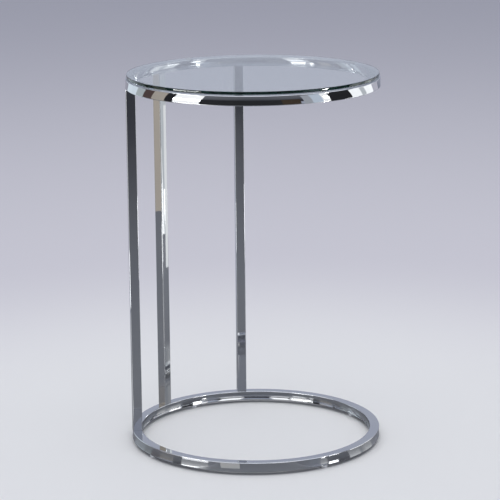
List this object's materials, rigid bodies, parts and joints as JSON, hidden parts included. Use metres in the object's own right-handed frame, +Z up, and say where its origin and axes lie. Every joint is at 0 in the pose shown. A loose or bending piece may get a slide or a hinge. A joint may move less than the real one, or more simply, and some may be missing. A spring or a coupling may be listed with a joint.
{
  "type": "c shaped side table",
  "caption": "Round clear glass top on a C-shaped frame of polished square tube, with legs close together at the back so that it slides over a sofa or bed edge.",
  "frame": {"origin": "on the floor, below the centre of the round top", "axes": "+Z up, +Y towards the middle leg at the back, -Y towards the open side of the C, X from side to side"},
  "size_m": [0.4199, 0.42, 0.6255],
  "materials": {
    "chrome": "polished chrome plating on square steel tube",
    "glass": "clear toughened glass, polished edge with a dark green tint",
    "clear_rubber": "clear soft polyurethane",
    "zinc_steel": "bright zinc plated"
  },
  "bodies": {
    "frame": {"foot_1": "clear_rubber", "foot_2": "clear_rubber", "foot_3": "clear_rubber", "foot_4": "clear_rubber", "glass_pad_1": "clear_rubber", "glass_pad_2": "clear_rubber", "glass_pad_3": "clear_rubber", "glass_pad_4": "clear_rubber", "leg_back": "chrome", "leg_left": "chrome", "leg_right": "chrome", "lower_ring": "chrome", "plug_back": "zinc_steel", "plug_left": "zinc_steel", "plug_right": "zinc_steel", "screw_back": "zinc_steel", "screw_left": "zinc_steel", "screw_right": "zinc_steel", "upper_ring": "chrome", "washer_back": "zinc_steel", "washer_left": "zinc_steel", "washer_right": "zinc_steel"},
    "glass": {"glass_top": "glass"}
  },
  "joints": [
    {"name": "glass_lift", "type": "slide", "parent": "frame", "child": "glass", "axis": [0, 0, 1], "range_m": [0, 0.06]}
  ]
}
